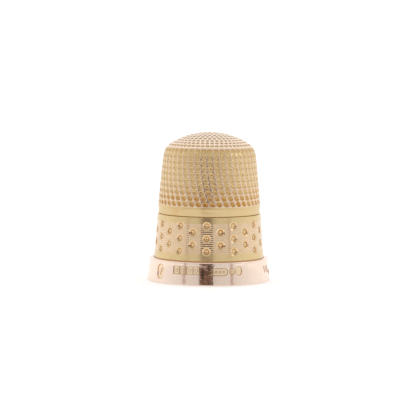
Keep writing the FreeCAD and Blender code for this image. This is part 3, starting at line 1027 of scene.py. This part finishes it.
def rim_ring(name, outline, rim):
    """The band as a whole ring, with worn edges."""
    height, edge, steps = rim_high.z, rim.edge, 5
    angles = [math.pi / 2 * step / steps for step in range(steps + 1)]
    turning = Turning(name, 240, *outline.skin(height), smooth=False)

    def worn(z, share):
        return rim_radius(outline, rim, z) - edge * (1 - share), z

    turning.draw_all(worn(height - edge * (1 - math.cos(angle)), math.sin(angle)) for angle in angles)
    levels = [height * (1 - step / 12) for step in range(1, 12)]
    turning.draw_all(worn(z, 1) for z in levels if edge < z < height - edge)
    turning.draw_all(worn(edge * (1 - math.sin(angle)), math.cos(angle)) for angle in angles)
    turning.draw_all([(outline.foot_radius, 0), outline.skin(height)])
    return turning.close()


def rim_core(outline, rim, inset):
    """The band's body under its skin."""
    height, hollow = rim_high.z, 6 * MM
    turning = Turning("core", 240, hollow, height, smooth=False)
    levels = [height * (1 - step / 12) for step in range(13)]
    turning.draw_all((rim_radius(outline, rim, z) - inset, z) for z in levels)
    turning.draw_all([(hollow, 0), (hollow, height)])
    return turning.close()


def gap_block(rim):
    """The block of space between the ends of the strip, at the back."""
    middle, long = 9 * MM, 6 * MM
    clear_selection()
    bpy.ops.mesh.primitive_cube_add(size=1, location=(0, middle, rim_high.z / 2))
    block = bpy.context.object
    block.scale = (rim.gap, long, 3 * rim_high.z)
    bpy.ops.object.transform_apply(location=True, scale=True)
    return block


class THIMBLE_OT_solder(bpy.types.Operator):
    """Run the solder: the strip's butt joint, the rim's two rings and the crown's seam"""

    bl_idname = "thimble.solder"
    bl_label = "Solder"

    def execute(self, context):
        body, rim, gold = chosen(context, "body", "rim", "gold")
        outline = Outline(body)
        metal = gold_material("Browned solder", gold.solder, gold.solder, gold.hollow_shade, 0.32, scratches=0.3,
                              dents=1.0, relief=0.012 * MM)
        strip = rim_ring("strip_solder", outline, rim)
        cut(strip, gap_block(rim), "INTERSECT")
        smooth_by_angle(strip, 35)
        size, height, foot = rim.solder, rim_high.z, wall_low.z
        radius = outline.cone(height)
        top = self.bead("top_solder", [
            (radius, height), (radius + size, height), (radius + size * 0.45, height + size * 0.35),
            outline.skin(height + size)], 0.012 * MM, 11)
        radius = outline.cone(foot)
        under = self.bead("foot_solder", [
            (radius, foot), (radius - foot, foot), (radius - foot * 0.35, foot * 0.55),
            outline.skin(foot / 6)], 0.008 * MM, 12)
        corner, low = (outline.at(outline.seam - down, body.wall) for down in (0.0, rim.crown_solder))
        ledge = outline.at(outline.seam, body.crown_wall)
        middle = corner * 0.4 + (ledge + low) * 0.3
        crown = self.bead("crown_solder", [corner, ledge, middle, low], 0.010 * MM, 13)
        beads = {"rim_strip_solder": strip, "rim_top_solder": top, "rim_foot_solder": under,
                 "crown_seam_solder": crown}
        for node, piece in beads.items():
            finish_piece(piece, metal, "gold_solder", node)
        return {"FINISHED"}

    def bead(self, name, corners, unevenness, seed):
        """A ring of solder with an uneven free surface, which its third corner draws."""
        turning = Turning(name, 180, *corners[0], smooth=False)
        turning.draw_all(corners[1:] + corners[:1])
        piece = turning.close()
        edit(piece)
        pick_edges(piece, level_at(corners[2][1]))
        bpy.ops.transform.vertex_random(offset=unevenness, seed=seed)
        stop_editing()
        smooth_by_angle(piece, 60)
        return piece


# ---- stage


class THIMBLE_OT_stage(bpy.types.Operator):
    """Set the floor, the light, the cards and the camera"""

    bl_idname = "thimble.stage"
    bl_label = "Stage"

    def execute(self, context):
        scene, stage = context.scene, context.scene.thimble_stage
        scene.view_settings.view_transform = "Standard"
        self.floor(stage)
        self.cards(stage)
        self.lamp(scene, stage)
        self.sky(scene)
        self.camera(scene, stage)
        return {"FINISHED"}

    def floor(self, stage):
        white, glow = 0.86, 0.28
        clear_selection()
        bpy.ops.mesh.primitive_plane_add(size=stage.floor)
        floor = bpy.context.object
        floor.name = floor.data.name = "floor"
        finish, inputs = plain_finish("White floor", (white, white, white), 0.9)
        inputs["Emission Color"].default_value = (1, 1, 1, 1)
        inputs["Emission Strength"].default_value = glow
        floor.data.materials.append(finish)

    def card(self, stage, name, low, high, tall, tone, dark=None):
        """An upright card, seen only in reflections, between two directions from the front."""
        clear_selection()
        reach = stage.card_distance
        middle = math.radians((low + high) / 2)
        width = 2 * reach * math.tan(math.radians(high - low) / 2)
        bpy.ops.mesh.primitive_plane_add(size=1)
        card = bpy.context.object
        card.name = card.data.name = name
        card.scale = (width, tall, 1)
        card.rotation_euler = (math.pi / 2, 0, middle)
        card.location = (reach * math.sin(middle), -reach * math.cos(middle), tall / 2)
        bpy.ops.object.transform_apply(location=True, rotation=True, scale=True)
        finish, inputs = plain_finish(name, tone, 0.8)
        if dark is not None:
            tree, cells = finish.node_tree, 26.0
            blotch = ranged(tree, noise(tree, object_place(tree), cells, 3.0), 0.42, 0.58)
            feed(tree, inputs["Base Color"], blend(tree, blotch, (*tone, 1), (*dark, 1)))
        card.data.materials.append(finish)
        card.visible_camera = card.visible_shadow = card.visible_diffuse = False

    def cards(self, stage):
        self.card(stage, "dark_card", -17.6, 8.6, 0.17, stage.dark, stage.blotches)
        self.card(stage, "left_pole", -49.5, -43.5, 0.55, stage.pole)
        self.card(stage, "right_pole", 41.5, 47, 0.55, stage.pole)

    def lamp(self, scene, stage):
        """A small soft lamp on the right, for the glints on the ridges."""
        data = bpy.data.lights.new("lamp", "AREA")
        data.size, data.energy = stage.lamp_size, stage.lamp
        lamp = bpy.data.objects.new("lamp", data)
        scene.collection.objects.link(lamp)
        around, up = stage.lamp_around, stage.lamp_up
        way = Vector((math.sin(around) * math.cos(up), -math.cos(around) * math.cos(up), math.sin(up)))
        lamp.location = way * stage.card_distance
        lamp.rotation_euler = way.to_track_quat("Z", "Y").to_euler()

    def sky(self, scene):
        """White all round, a little dimmer behind the camera."""
        dim, bright = 0.72, 1.05
        world = bpy.data.worlds.new("White tent")
        scene.world = world
        world.use_nodes = True
        tree = world.node_tree
        tree.nodes.clear()
        way = put(tree, "ShaderNodeTexCoord", {}).outputs["Generated"]
        parts = put(tree, "ShaderNodeSeparateXYZ", {0: way})
        strength = ranged(tree, parts.outputs["Y"], -1.0, 0.2, dim, bright)
        shade = put(tree, "ShaderNodeBackground", {"Color": (1, 1, 1, 1), "Strength": strength})
        put(tree, "ShaderNodeOutputWorld", {"Surface": shade.outputs[0]})

    def camera(self, scene, stage):
        data = bpy.data.cameras.new("camera")
        camera = bpy.data.objects.new("camera", data)
        scene.collection.objects.link(camera)
        data.lens, data.clip_start, data.clip_end = stage.lens, 0.01, 20
        camera.location = (0, -stage.distance, stage.eye)
        aim = Vector((-stage.aside, 0, stage.target)) - camera.location
        turned = aim.to_track_quat("-Z", "Y").to_euler()
        turned.rotate_axis("Z", stage.roll)
        camera.rotation_euler = turned
        scene.camera = camera


# ---- add-on


OPERATORS = (
    THIMBLE_OT_stage,
    THIMBLE_OT_knurled_wall,
    THIMBLE_OT_border_wall,
    THIMBLE_OT_crown_cap,
    THIMBLE_OT_rim_band,
    THIMBLE_OT_solder,
)


class THIMBLE_PT_panel(bpy.types.Panel):
    """The thimble's sizes, colours and steps"""

    bl_label = "Thimble"
    bl_space_type = "VIEW_3D"
    bl_region_type = "UI"
    bl_category = "Thimble"

    def draw(self, context):
        for operator in OPERATORS:
            self.layout.operator(operator.bl_idname)
        for name, group in GROUPS.items():
            box = self.layout.box()
            box.label(text=group.__name__)
            for prop in group.__annotations__:
                box.prop(getattr(context.scene, name), prop)


CLASSES = (*GROUPS.values(), *OPERATORS, THIMBLE_PT_panel)


def register():
    for cls in CLASSES:
        bpy.utils.register_class(cls)
    for name, group in GROUPS.items():
        setattr(bpy.types.Scene, name, PointerProperty(type=group))


def unregister():
    for name in GROUPS:
        delattr(bpy.types.Scene, name)
    for cls in reversed(CLASSES):
        bpy.utils.unregister_class(cls)


def main():
    register()
    for operator in OPERATORS:
        group, name = operator.bl_idname.split(".")
        getattr(getattr(bpy.ops, group), name)()
    clear_selection()


if __name__ == "__main__":
    main()
